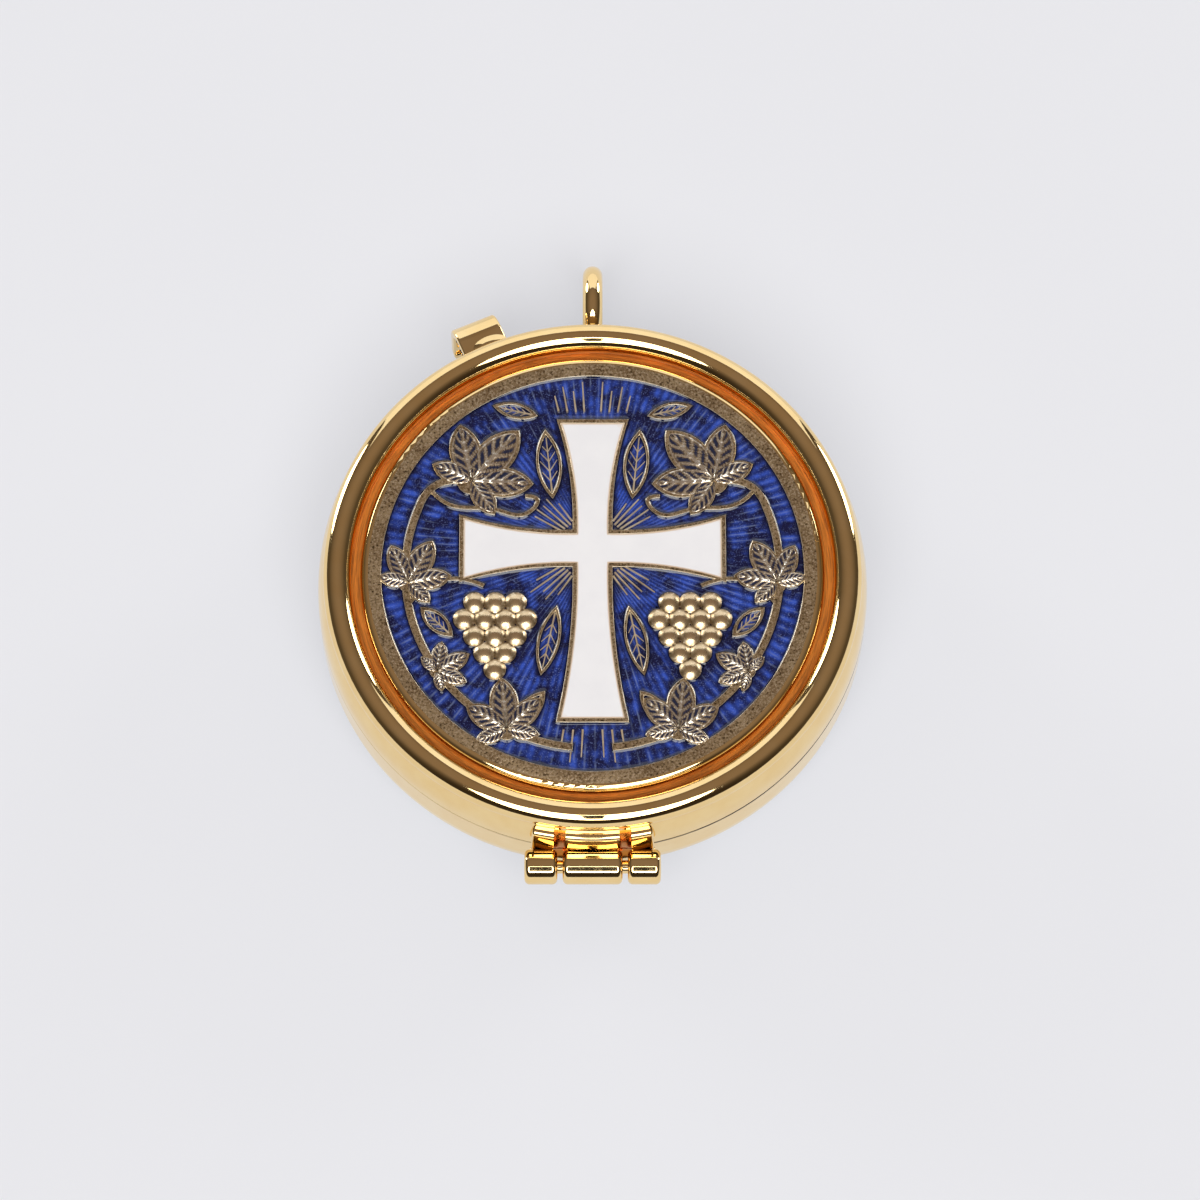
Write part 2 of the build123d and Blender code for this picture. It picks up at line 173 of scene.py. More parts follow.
# %% [markdown]
# The gilt itself is a metal between a light and a deep gold, almost a mirror. Its colour could be one
# value, but two tones and a little haze keep long reflections from looking like plastic film.

# %% Polished gilt
LIGHT_GOLD = (0.95, 0.72, 0.36, 1)
DEEP_GOLD = (0.92, 0.665, 0.30, 1)


def make_gilt(name, light, deep, smooth, hazed):
    """Polished plating between two tones, with a roughness between two values."""
    material, tree, shader = new_material(name)
    finish = use_group(tree, plating)
    tree.links.new(mix_colours(tree, finish["Tone"], deep, light), shader["Base Color"])
    tree.links.new(spread(tree, finish["Haze"], 0.0, 1.0, smooth, hazed), shader["Roughness"])
    shader["Metallic"].default_value = 1
    add_bump(tree, shader, finish["Height"], 0.25, 0.02 * MM)
    return material


polished_gilt = make_gilt("polished_gilt", LIGHT_GOLD, DEEP_GOLD, 0.03, 0.075)
bright_edge = make_gilt("bright_edge", (1.0, 0.90, 0.70, 1), (0.90, 0.74, 0.50, 1), 0.32, 0.46)
print("gilt finishes:", polished_gilt.name, bright_edge.name)

# %% [markdown]
# Between the bead and the medallion runs a narrow groove that no polishing wheel can reach. Its floor is
# still streaked and grainy from turning, and light that bounces in it from gold to gold turns deep orange.
# Left to the renderer that needs many bounces, so that orange is painted reflected light: the floor is given
# the tone and the grain directly, by a mask of radius and height, and made duller and less metallic. Streaks
# follow the turning when noise is read round the axis.

# %% Lid finish
GROOVE_OUTER = 23.75 * MM
GROOVE_TOP = 13.0 * MM
GROOVE_UNDER = 12.0 * MM
GROOVE_FADE = 0.1 * MM
BEAD_FADE = 0.3 * MM
GROOVE_ORANGE = (1.0, 0.32, 0.04, 1)
GROOVE_BROWN = (0.56, 0.17, 0.022, 1)
STREAK_WIDTH = 0.16 * MM
STREAK_TURNS = 7.0


def vary_gilt(name):
    """A copy of the polished gilt, with its tree, shader inputs, colour and polish."""
    material = polished_gilt.copy()
    material.name = name
    tree = material.node_tree
    shader = tree.nodes["Principled BSDF"].inputs
    gold, polish = (shader[socket].links[0].from_socket for socket in ("Base Color", "Roughness"))
    return material, tree, shader, gold, polish


def split_place(tree):
    """East, north and height of a point on its piece, and its radius about the axis of the case."""
    split = tree.nodes.new("ShaderNodeSeparateXYZ")
    tree.links.new(object_place(tree), split.inputs["Vector"])
    east, north, height = split.outputs
    squares = [math_node(tree, "MULTIPLY", side, side) for side in (east, north)]
    return east, north, height, math_node(tree, "SQRT", math_node(tree, "ADD", *squares))


lid_gilt, tree, shader, gold, polish = vary_gilt("lid_gilt")
east, north, height, radius = split_place(tree)
inside = spread(tree, radius, GROOVE_OUTER, GROOVE_OUTER - GROOVE_FADE)
under_bead = spread(tree, height, GROOVE_TOP, GROOVE_TOP - BEAD_FADE)
over_panel = math_node(tree, "GREATER_THAN", height, GROOVE_UNDER)
groove = math_node(tree, "MULTIPLY", math_node(tree, "MULTIPLY", inside, under_bead), over_panel)

turned = tree.nodes.new("ShaderNodeCombineXYZ")
tree.links.new(math_node(tree, "DIVIDE", radius, STREAK_WIDTH), turned.inputs["X"])
for side, socket in ((east, "Y"), (north, "Z")):
    heading = math_node(tree, "DIVIDE", side, radius)
    tree.links.new(math_node(tree, "MULTIPLY", heading, STREAK_TURNS), turned.inputs[socket])
streaks = noise_at(tree, turned.outputs["Vector"], 1.0, 3.0, 0.6)
orange = mix_colours(tree, spread(tree, streaks, 0.36, 0.58), GROOVE_BROWN, GROOVE_ORANGE)
# painted reflected light: the deep orange of bounces on the groove floor
tree.links.new(mix_colours(tree, groove, gold, orange), shader["Base Color"])
rough_floor = math_node(tree, "MULTIPLY", groove, 0.5)
dull_floor = math_node(tree, "MULTIPLY", groove, 0.75)
tree.links.new(math_node(tree, "MAXIMUM", polish, rough_floor), shader["Roughness"])
tree.links.new(math_node(tree, "SUBTRACT", 1.0, dull_floor), shader["Metallic"])
print("finish:", lid_gilt.name)

# %% [markdown]
# Where the lid meets the cup, the joint shows as a fine dark line, most of all on the right. A gap between
# the pieces is too narrow to look dark from above, so the shade of the joint is painted: the rounded lip of
# the cup is darkened by a mask of height, more towards the right, and a noise breaks the line.

# %% Cup finish
SEAM_LOW = 8.85 * MM
SEAM_HIGH = 8.95 * MM
SEAM_INNER = 26.88 * MM
SEAM_FADE = 0.04 * MM
SEAM_SIDE = 12 * MM
JOINT_BREAK_SCALE = 260.0
SEAM_SHADE = (0.05, 0.03, 0.014, 1)

cup_gilt, tree, shader, gold, polish = vary_gilt("cup_gilt")
east, north, height, radius = split_place(tree)
lip = spread(tree, height, SEAM_LOW, SEAM_HIGH)
outer = spread(tree, radius, SEAM_INNER, SEAM_INNER + SEAM_FADE)
rightward = spread(tree, east, -SEAM_SIDE, SEAM_SIDE, 0.12, 1.0)
joint_breaks = spread(tree, noise_at(tree, object_place(tree), JOINT_BREAK_SCALE, 2.0), 0.35, 0.55, 0.7, 1.0)
joint_shade = math_node(tree, "MULTIPLY", math_node(tree, "MULTIPLY", lip, outer), rightward)
joint_shade = math_node(tree, "MULTIPLY", joint_shade, joint_breaks)
# painted shade of the joint, darker towards the right
tree.links.new(mix_colours(tree, joint_shade, gold, SEAM_SHADE), shader["Base Color"])
dull_joint_shade = math_node(tree, "MULTIPLY", joint_shade, 0.4)
tree.links.new(math_node(tree, "MAXIMUM", polish, dull_joint_shade), shader["Roughness"])
print("finish:", cup_gilt.name)

# %% [markdown]
# The two grooves in the hinge bearer, and the slits between the tubes in front of them, take light bounced
# from gold to gold like the groove of the lid, and glow in the same deep orange. That orange is painted
# reflected light and shade. A dark paint would kill their glint, so the metal stays a metal and only turns
# deeper and duller in two narrow bands beside the middle of the hinge.

# %% Hinge finish
SLIT_INNER = 2.6 * MM
SLIT_OUTER = 3.74 * MM
SLIT_FRONT = 27.6 * MM
SLIT_LOW = 7.4 * MM
SLIT_ORANGE = (0.52, 0.19, 0.032, 1)

hinge_gilt, tree, shader, gold, polish = vary_gilt("hinge_gilt")
east, north, height, radius = split_place(tree)
aside = math_node(tree, "ABSOLUTE", east)
slit = math_node(tree, "GREATER_THAN", aside, SLIT_INNER)
slit = math_node(tree, "MULTIPLY", slit, math_node(tree, "LESS_THAN", aside, SLIT_OUTER))
slit = math_node(tree, "MULTIPLY", slit, math_node(tree, "LESS_THAN", radius, SLIT_FRONT))
slit = math_node(tree, "MULTIPLY", slit, math_node(tree, "GREATER_THAN", height, SLIT_LOW))
# painted reflected light and shade: deep orange in the hinge slits
tree.links.new(mix_colours(tree, slit, gold, SLIT_ORANGE), shader["Base Color"])
dull_slit = math_node(tree, "MULTIPLY", slit, 0.22)
tree.links.new(math_node(tree, "MAXIMUM", polish, dull_slit), shader["Roughness"])
print("finish:", hinge_gilt.name)

# %% [markdown]
# The struck plate was darkened and left with a sandy grain, so that only its edges and a few grains
# shine. A photograph could supply the grain, but a noise is sharper at any distance and repeats nowhere.
# The group hands out bright specks, dark pits and slow stains, and each metal below mixes its own tones.

# %% Sandy grain group
STAIN_SCALE = 450.0
sandy_grain, grain_in, grain_out = new_group(
    "sandy_grain", [("Grain Size", 0.22)], ["Speck", "Pit", "Stain", "Height"]
)
place = object_place(sandy_grain)
grain_scale = math_node(sandy_grain, "DIVIDE", 1 / MM, grain_in["Grain Size"])
grain = noise_at(sandy_grain, place, grain_scale, 2.0, 0.6)
stain = noise_at(sandy_grain, place, STAIN_SCALE, 3.0)
sandy_grain.links.new(spread(sandy_grain, grain, 0.55, 0.66), grain_out["Speck"])
sandy_grain.links.new(spread(sandy_grain, grain, 0.45, 0.32), grain_out["Pit"])
sandy_grain.links.new(spread(sandy_grain, stain, 0.35, 0.65), grain_out["Stain"])
sandy_grain.links.new(grain, grain_out["Height"])
print("group:", sandy_grain.name)

# %% [markdown]
# Two metals use the grain. The flat lines and the border are plain struck bronze. On the grapes the high
# places were rubbed bright, which a mask of height shows better than paint would.

# %% Struck metal and rubbed metal
BRONZE_DARK = (0.33, 0.225, 0.12, 1)
BRONZE_LIGHT = (0.50, 0.37, 0.215, 1)
BRONZE_PIT = (0.07, 0.045, 0.022, 1)
BRONZE_SPECK = (1.0, 0.86, 0.62, 1)
RUBBED_FROM = 14.0 * MM
RUBBED_TO = 14.33 * MM
RUBBED_GOLD = (0.86, 0.68, 0.42, 1)


def grained_bronze(tree, finish):
    """Bronze stained light and dark, with pits and specks."""
    ground = mix_colours(tree, finish["Stain"], BRONZE_DARK, BRONZE_LIGHT)
    pitted = mix_colours(tree, finish["Pit"], ground, BRONZE_PIT)
    return mix_colours(tree, finish["Speck"], pitted, BRONZE_SPECK)


struck_metal, tree, shader = new_material("struck_metal")
finish = use_group(tree, sandy_grain)
tree.links.new(grained_bronze(tree, finish), shader["Base Color"])
tree.links.new(spread(tree, finish["Speck"], 0, 1, 0.42, 0.25), shader["Roughness"])
shader["Metallic"].default_value = 1
add_bump(tree, shader, finish["Height"], 0.6, 0.06 * MM)

rubbed_metal, tree, shader = new_material("rubbed_metal")
finish = use_group(tree, sandy_grain, Grain_Size=0.4)
rubbed = spread(tree, split_place(tree)[2], RUBBED_FROM, RUBBED_TO)
bronze = grained_bronze(tree, finish)
tree.links.new(mix_colours(tree, rubbed, bronze, RUBBED_GOLD), shader["Base Color"])
tree.links.new(spread(tree, rubbed, 0, 1, 0.4, 0.2), shader["Roughness"])
shader["Metallic"].default_value = 1
add_bump(tree, shader, finish["Height"], 0.4, 0.03 * MM)
print("finishes:", struck_metal.name, rubbed_metal.name)

# %% [markdown]
# The leaves are chased: a punch drove fine ridges into them, and a dark blue wash settled between the
# ridges while their crests were wiped bright. The height of the punch work is kept on the mesh as an
# attribute called crest, so the wash lies exactly where the modelled hollows are.

# %% Chased metal
WASH = (0.016, 0.022, 0.06, 1)
CREST_SILVER = (0.95, 0.90, 0.78, 1)
chased_metal, tree, shader = new_material("chased_metal")
finish = use_group(tree, sandy_grain)
crest = tree.nodes.new("ShaderNodeAttribute")
crest.attribute_name = "crest"
crest = crest.outputs["Fac"]
washed = mix_colours(tree, spread(tree, crest, 0.0, 0.32), WASH, grained_bronze(tree, finish))
tree.links.new(mix_colours(tree, spread(tree, crest, 0.32, 0.7), washed, CREST_SILVER), shader["Base Color"])
tree.links.new(spread(tree, crest, 0.0, 0.3, 0.45, 1.0), shader["Metallic"])
tree.links.new(spread(tree, crest, 0.3, 0.9, 0.36, 0.2), shader["Roughness"])
add_bump(tree, shader, finish["Height"], 0.4, 0.04 * MM)
print("finish:", chased_metal.name)

# %% [markdown]
# Enamel is glass melted into a cell. It lies thick in the middle and climbs the metal walls at its rim, and
# the blue one shows the fine rays that were cut into the floor of its cells. The distance of each point from
# its wall is kept on the mesh as an attribute called pool, so one material can darken every cell at its edge;
# on the blue that dark rim is partly the depth of the glass and partly painted shade. The rays are sines of
# the angle round the cross, so they meet without a seam.

# %% Enamel groups
CROSS_CENTRE = 2.4 * MM
BREAK_SCALE = 420.0
enamel_flow, flow_in, flow_out = new_group(
    "enamel_flow", [("Cloud Size", 1.6), ("Flake Size", 0.14)], ["Pool", "Cloud", "Flake", "Height"]
)
place = object_place(enamel_flow)
pool = enamel_flow.nodes.new("ShaderNodeAttribute")
pool.attribute_name = "pool"
cloud = noise_at(enamel_flow, place, math_node(enamel_flow, "DIVIDE", 1 / MM, flow_in["Cloud Size"]), 3.0)
flake = noise_at(enamel_flow, place, math_node(enamel_flow, "DIVIDE", 1 / MM, flow_in["Flake Size"]), 2.0)
enamel_flow.links.new(pool.outputs["Fac"], flow_out["Pool"])
enamel_flow.links.new(spread(enamel_flow, cloud, 0.4, 0.64), flow_out["Cloud"])
enamel_flow.links.new(spread(enamel_flow, flake, 0.56, 0.74), flow_out["Flake"])
enamel_flow.links.new(cloud, flow_out["Height"])

cut_rays, rays_in, rays_out = new_group(
    "cut_rays", [("Count", 132.0), ("Centre", CROSS_CENTRE)], ["Wave", "Line"]
)
east, north = split_place(cut_rays)[:2]
turn = math_node(cut_rays, "ARCTAN2", math_node(cut_rays, "SUBTRACT", north, rays_in["Centre"]), east)
ray = math_node(cut_rays, "SINE", math_node(cut_rays, "MULTIPLY", turn, rays_in["Count"]))
broken = spread(cut_rays, noise_at(cut_rays, object_place(cut_rays), BREAK_SCALE, 2.0), 0.42, 0.6)
cut_rays.links.new(spread(cut_rays, ray, -1.0, 1.0), rays_out["Wave"])
crests = spread(cut_rays, ray, 0.72, 0.98)
cut_rays.links.new(math_node(cut_rays, "MULTIPLY", crests, broken), rays_out["Line"])
print("groups:", enamel_flow.name, cut_rays.name)

# %% [markdown]
# The blue is built up from deep to bright: the dark rim, which is partly the depth of the glass and partly
# painted shade, the clouded body, the rays under it and a few flakes. One noise over one blue would look like
# paint. The white is opaque, with a thin warm rim where the metal shines through.

# %% Blue and white enamel
BLUE_RIM_DEPTH_AND_SHADE = (0.0015, 0.0025, 0.022, 1)
BLUE_DEEP = (0.003, 0.005, 0.045, 1)
BLUE_BRIGHT = (0.034, 0.09, 0.52, 1)
BLUE_FLAKE = (0.22, 0.31, 0.70, 1)
RAY_SILVER = (0.20, 0.26, 0.45, 1)
WHITE_SOFT = (0.925, 0.93, 0.955, 1)
WHITE_CLEAR = (0.955, 0.96, 0.98, 1)
WHITE_RIM = (0.72, 0.50, 0.30, 1)

blue_enamel, tree, shader = new_material("blue_enamel")
flow = use_group(tree, enamel_flow)
rays = use_group(tree, cut_rays)
light = math_node(tree, "MULTIPLY", flow["Cloud"], spread(tree, rays["Wave"], 0.0, 1.0, 0.35, 1.15))
body = mix_colours(tree, light, BLUE_DEEP, BLUE_BRIGHT)
lined = mix_colours(tree, math_node(tree, "MULTIPLY", rays["Line"], 0.45), body, RAY_SILVER)
flaked = mix_colours(tree, math_node(tree, "MULTIPLY", flow["Flake"], 0.45), lined, BLUE_FLAKE)
# dark rim of each blue cell: partly the depth of the glass, partly painted shade
rimmed = mix_colours(tree, spread(tree, flow["Pool"], 0.1, 0.95), BLUE_RIM_DEPTH_AND_SHADE, flaked)
tree.links.new(rimmed, shader["Base Color"])
shader["Roughness"].default_value = 0.5
shader["Specular IOR Level"].default_value = 0.0
shader["Coat Weight"].default_value = 1.0
shader["Coat Roughness"].default_value = 0.03
add_bump(tree, shader, flow["Height"], 0.35, 0.08 * MM)

white_enamel, tree, shader = new_material("white_enamel")
flow = use_group(tree, enamel_flow, Cloud_Size=4.0)
body = mix_colours(tree, flow["Cloud"], WHITE_SOFT, WHITE_CLEAR)
rimmed = mix_colours(tree, spread(tree, flow["Pool"], 0.0, 0.4), WHITE_RIM, body)
tree.links.new(rimmed, shader["Base Color"])
shader["Roughness"].default_value = 0.2
shader["Coat Weight"].default_value = 0.6
shader["Coat Roughness"].default_value = 0.05
print("finishes:", blue_enamel.name, white_enamel.name)

# %% [markdown]
# The turned, bent and polished pieces are right as they come from CAD, since their meshes carry true
# normals. They only need their finish. Remaking them by hand would risk their fits for no gain.

# %% Gild the CAD nodes
KEPT_GILT = (
    "base_cup", "seat_collar", "lid_shell", "lid_hinge_leaf", "hinge_knuckle_left", "hinge_knuckle_right",
    "base_hinge_leaf", "hinge_knuckle_centre", "hinge_pin", "latch_clip", "latch_catch", "suspension_ring",
)
OWN_GILT = {
    "lid_shell": lid_gilt, "base_cup": cup_gilt, "lid_hinge_leaf": hinge_gilt, "base_hinge_leaf": hinge_gilt,
}
for name in KEPT_GILT:
    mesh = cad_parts[name].data
    mesh.materials.clear()
    mesh.materials.append(OWN_GILT.get(name, polished_gilt))
print("gilded:", len(KEPT_GILT), "nodes")

# %% [markdown]
# The medallion's pieces start from a copy of their CAD node. A node's mesh is loose triangles, so the copy
# is merged and its flat faces are joined before anything is shaped. Operators act on whatever is selected,
# so everything is deselected first and the wanted parts are then picked by place or normal.

# %% Helpers for shaping pieces
NEAR = 0.002 * MM
MERGE = 0.001 * MM
SAME_PLANE = math.radians(0.3)


def start_fresh():
    """Leave edit mode and deselect every object."""
    if bpy.context.object and bpy.context.object.mode != "OBJECT":
        bpy.ops.object.mode_set(mode="OBJECT")
    bpy.ops.object.select_all(action="DESELECT")


def edit_only(piece):
    """Make one object active and open it in edit mode."""
    start_fresh()
    piece.select_set(True)
    bpy.context.view_layer.objects.active = piece
    bpy.ops.object.mode_set(mode="EDIT")


def copy_node(node, name):
    """A merged copy of a CAD node, open in edit mode with nothing selected."""
    piece = bpy.data.objects.new(name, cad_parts[node].data.copy())
    bpy.context.collection.objects.link(piece)
    piece.data.materials.clear()
    edit_only(piece)
    bpy.ops.mesh.customdata_custom_splitnormals_clear()
    bpy.ops.mesh.select_all(action="SELECT")
    bpy.ops.mesh.remove_doubles(threshold=MERGE)
    bpy.ops.mesh.dissolve_limited(angle_limit=SAME_PLANE)
    bpy.ops.mesh.select_all(action="DESELECT")
    return piece


def pick(piece, kind, test):
    """Select the faces, edges or vertices that pass a test, and say how many did."""
    bpy.ops.mesh.select_mode(type={"verts": "VERT", "edges": "EDGE", "faces": "FACE"}[kind])
    bpy.ops.mesh.select_all(action="DESELECT")
    shape = bmesh.from_edit_mesh(piece.data)
    chosen = [part for part in getattr(shape, kind) if test(part)]
    for part in chosen:
        part.select_set(True)
    shape.select_flush_mode()
    bmesh.update_edit_mesh(piece.data)
    return len(chosen)


def finish_piece(piece, body, slot, *nodes, smooth_angle=35.0):
    """Smooth a piece, let it ride on its body and stand for its nodes."""
    start_fresh()
    piece.select_set(True)
    bpy.context.view_layer.objects.active = piece
    bpy.ops.object.shade_smooth_by_angle(angle=math.radians(smooth_angle))
    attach(piece, body)
    if nodes:
        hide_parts(*nodes)
    print(piece.name, "has", len(piece.data.polygons), "faces")


print("shaping helpers ready")

# %% [markdown]
# The medallion is a struck plate: sunk cells for the enamel, level metal lines between them, and raised
# grapes. On the real plate the edge of every line is worn bright. Painting that edge would blur it, so
# each edge where the level metal drops into a cell is bevelled and the bevel gets its own bright finish.

# %% Struck medallion
MEDALLION_Z = 13.93 * MM
PLATE_ROUND = 0.75 * MM
BORDER_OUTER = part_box("medallion_plate")[1].x - PLATE_ROUND
LINE_BEVEL = 0.055 * MM
METALS = (struck_metal, bright_edge, polished_gilt, rubbed_metal)


def is_level_metal(face):
    """A face of the flat metal that shows between the cells."""
    return face.normal.z > 0.99 and abs(face.calc_center_median().z - MEDALLION_Z) < NEAR


def drops_into_cell(edge):
    """An edge with level metal on one side and a cell wall on the other."""
    faces = edge.link_faces
    if len(faces) != 2 or is_level_metal(faces[0]) == is_level_metal(faces[1]):
        return False
    other = faces[1] if is_level_metal(faces[0]) else faces[0]
    return abs(other.normal.z) < 0.1


def is_rounded_rim(face):
    """A face of the plate's rounded outer edge."""
    return face.calc_center_median().xy.length > BORDER_OUTER + NEAR and face.normal.z > -0.5


def is_grape(face):
    """A face that stands above the level metal."""
    return face.calc_center_median().z > MEDALLION_Z + NEAR


medallion = copy_node("medallion_plate", "struck_medallion")
for metal in METALS:
    medallion.data.materials.append(metal)
line_edges = pick(medallion, "edges", drops_into_cell)
bpy.ops.mesh.bevel(
    offset=LINE_BEVEL, segments=1, affect="EDGES", clamp_overlap=False, material=METALS.index(bright_edge)
)
for metal, test in ((polished_gilt, is_rounded_rim), (rubbed_metal, is_grape)):
    pick(medallion, "faces", test)
    medallion.active_material_index = METALS.index(metal)
    bpy.ops.object.material_slot_assign()
print("line edges bevelled:", line_edges)
finish_piece(medallion, "lid", "struck_metal", "medallion_plate", smooth_angle=20.0)

# %% [markdown]
# The enamel is poured into the cells as paste and melts to a shallow pool, which creeps up the metal at
# its rim. The flat top of each CAD solid is inset along its outline and cut into small squares. Each point
# is then set by its distance from the wall, so the rings of the inset carry the steep rim that catches
# the light, and the sheet is drawn down to the floor of its cell so that it stays a closed solid.

# %% Pour the enamel
RIM_RINGS = (0.06 * MM, 0.07 * MM, 0.1 * MM)
WIDE_CELL = 0.3 * MM * MM
POOL_RIM = 0.44 * MM
OUTLINE_STEP = 0.05 * MM


def wall_distances(shape, step):
    """The distance of each vertex of an open sheet from the sheet's outline."""
    outline = []
    for edge in shape.edges:
        if len(edge.link_faces) == 1:
            start, end = (vertex.co for vertex in edge.verts)
            count = max(1, math.ceil((end - start).length / step))
            outline += [start.lerp(end, turn / count) for turn in range(count + 1)]
    tree = KDTree(len(outline))
    for index, point in enumerate(outline):
        tree.insert(point, index)
    tree.balance()
    return [tree.find(vertex.co)[2] for vertex in shape.verts]


def pour_enamel(node, name, material, pitch, dip, climb, reach):
    """The enamel of a node as pools that dip in the middle and climb their walls over a reach."""
    piece = copy_node(node, name)
    piece.data.materials.append(material)
    low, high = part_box(node)
    pick(piece, "faces", lambda face: face.normal.z < 0.9)
    bpy.ops.mesh.delete(type="FACE")
    pick(piece, "faces", lambda face: face.calc_area() > WIDE_CELL)
    for ring in RIM_RINGS:
        bpy.ops.mesh.inset(thickness=ring, depth=0, use_boundary=True, use_even_offset=False)
    for axis in (Vector((1, 0, 0)), Vector((0, 1, 0))):
        start = low.dot(axis)
        for count in range(1, math.ceil((high - low).dot(axis) / pitch)):
            bpy.ops.mesh.select_all(action="SELECT")
            bpy.ops.mesh.bisect(plane_co=axis * (start + count * pitch), plane_no=axis)
    shape = bmesh.from_edit_mesh(piece.data)
    print(name, "has", sum(face.normal.z < 0 for face in shape.faces), "faces folded over")
    pool_layer = shape.verts.layers.float.new("pool")
    for vertex, distance in zip(shape.verts, wall_distances(shape, OUTLINE_STEP)):
        vertex[pool_layer] = min(1.0, distance / POOL_RIM)
        vertex.co.z += (dip + climb) * math.exp(-distance / reach) - dip
    bmesh.update_edit_mesh(piece.data)
    bpy.ops.mesh.select_all(action="SELECT")
    bpy.ops.mesh.extrude_region_move(TRANSFORM_OT_translate={"value": (0, 0, low.z - high.z)})
    shape = bmesh.from_edit_mesh(piece.data)
    for vertex in shape.verts:
        if vertex.select:
            vertex.co.z = low.z
    bmesh.update_edit_mesh(piece.data)
    pick(piece, "faces", lambda face: abs(face.calc_center_median().z - low.z) < NEAR)
    bpy.ops.mesh.dissolve_limited(angle_limit=SAME_PLANE)
    bpy.ops.mesh.select_all(action="SELECT")
    bpy.ops.mesh.normals_make_consistent(inside=False)
    return piece


blue_pools = pour_enamel(
    "blue_enamel", "blue_enamel_pools", blue_enamel,
    pitch=0.4 * MM, dip=0.14 * MM, climb=0.07 * MM, reach=0.27 * MM,
)
finish_piece(blue_pools, "lid", "blue_enamel", "blue_enamel")
white_pool = pour_enamel(
    "white_enamel", "white_enamel_pool", white_enamel,
    pitch=0.6 * MM, dip=0.03 * MM, climb=0.0, reach=0.18 * MM,
)
finish_piece(white_pool, "lid", "white_enamel", "white_enamel")

# %% [markdown]
# Each vine leaf has five pointed lobes, and every lobe is chased alike: a tall midrib, side veins that lean
# towards the tip, and hollows between. One lobe is shaped from a grid by a rule of its length and width,
# closed underneath, and then copied to all the places of the ornament, each copy with its own mesh.

# %% Chased leaf lobes
LOBE_STEPS = (40, 14)
LOBE_SHARE = 0.93
LOBE_RELIEF = 0.3 * MM
LOBE_UNDER = -0.2
LOBE_TURNS = ((0, 1.0), (52, 0.86), (-52, 0.86), (106, 0.6), (-106, 0.6))
LOBE_WIDTH = 0.52
# Leaf foot X and Y in mm, heading in degrees and size in mm, on the right side
VINE_LEAVES = ((11.9, 9.5, 131, 7.1), (8.3, -16.4, 84, 5.4), (18.0, -1.2, 118, 5.0), (15.1, -10.4, 150, 3.6))


def arc_half_width(along, width):
    """Half the width of a leaf of two arcs, of length one, at a place along it."""
    sag = width / 2
    radius = (0.25 + sag * sag) / (2 * sag)
    return math.sqrt(radius * radius - (along - 0.5) ** 2) - radius + sag


def chase(along, across):
    """Height and crest of the punch work at a place along a lobe and across it, from -1 to 1."""
    belly = (1 - across * across) * math.sin(math.pi * along) ** 0.6
    midrib = math.exp(-((across / 0.13) ** 2)) * (1 - 0.75 * along)
    lean = 6.0 * along - 1.5 * abs(across)
    vein = max(0.0, math.cos(math.tau * lean)) ** 2 * math.sqrt(belly)
    rim = max(0.0, abs(across) - 0.82) / 0.18
    return 0.1 + 0.3 * belly + 0.4 * midrib + 0.3 * vein, min(1.0, max(midrib * 1.3, vein, rim * 0.75))


def shape_lobe():
    """A lobe of length and relief one, with its foot at the origin and its crest attribute."""
    start_fresh()
    bpy.ops.mesh.primitive_grid_add(x_subdivisions=LOBE_STEPS[0], y_subdivisions=LOBE_STEPS[1], size=1)
    lobe = bpy.context.object
    bpy.ops.object.mode_set(mode="EDIT")
    shape = bmesh.from_edit_mesh(lobe.data)
    crest_layer = shape.verts.layers.float.new("crest")
    for vertex in shape.verts:
        along, across = vertex.co.x + 0.5, 2 * vertex.co.y
        height, vertex[crest_layer] = chase(along, across)
        vertex.co = (along, across * LOBE_SHARE * arc_half_width(along, LOBE_WIDTH), height)
    bmesh.update_edit_mesh(lobe.data)
    bpy.ops.mesh.select_all(action="SELECT")
    bpy.ops.mesh.extrude_region_move(TRANSFORM_OT_translate={"value": (0, 0, -1)})
    shape = bmesh.from_edit_mesh(lobe.data)
    for vertex in shape.verts:
        if vertex.select:
            vertex.co.z = LOBE_UNDER
    bmesh.update_edit_mesh(lobe.data)
    pick(lobe, "faces", lambda face: abs(face.calc_center_median().z - LOBE_UNDER) < 0.001)
    bpy.ops.mesh.dissolve_limited(angle_limit=SAME_PLANE)
    bpy.ops.mesh.select_all(action="SELECT")
    bpy.ops.mesh.remove_doubles(threshold=0.002)
    bpy.ops.mesh.normals_make_consistent(inside=False)
    bpy.ops.object.mode_set(mode="OBJECT")
    return lobe


def set_copies(template, name, places):
    """Copies of a template, turned, sized and set in their places, as one piece."""
    start_fresh()
    for point, heading, size in places:
        copy = template.copy()
        copy.data = template.data.copy()
        bpy.context.collection.objects.link(copy)
        copy.location = point
        copy.rotation_euler = (0, 0, math.radians(heading))
        copy.scale = size
        copy.select_set(True)
        bpy.context.view_layer.objects.active = copy
    bpy.ops.object.transform_apply(location=True, rotation=True, scale=True)
    bpy.ops.object.join()
    piece = bpy.context.object
    piece.name = name
    piece.data.name = name
    bpy.data.objects.remove(template)
    return piece


def both_sides(x, y, heading):
    """A place in mm and a heading on the right side, then their mirror image on the left."""
    return (x * MM, y * MM, heading), (-x * MM, y * MM, 180 - heading)


lobe_places = []
for x, y, heading, size in VINE_LEAVES:
    for foot_x, foot_y, middle in both_sides(x, y, heading):
        for turn, share in LOBE_TURNS:
            length = size * share * LOBE_SHARE * MM
            lobe_places.append(((foot_x, foot_y, MEDALLION_Z), middle + turn, (length, length, LOBE_RELIEF)))
leaves = set_copies(shape_lobe(), "chased_leaves", lobe_places)
leaves.data.materials.append(chased_metal)
finish_piece(leaves, "lid", "struck_metal", smooth_angle=50.0)

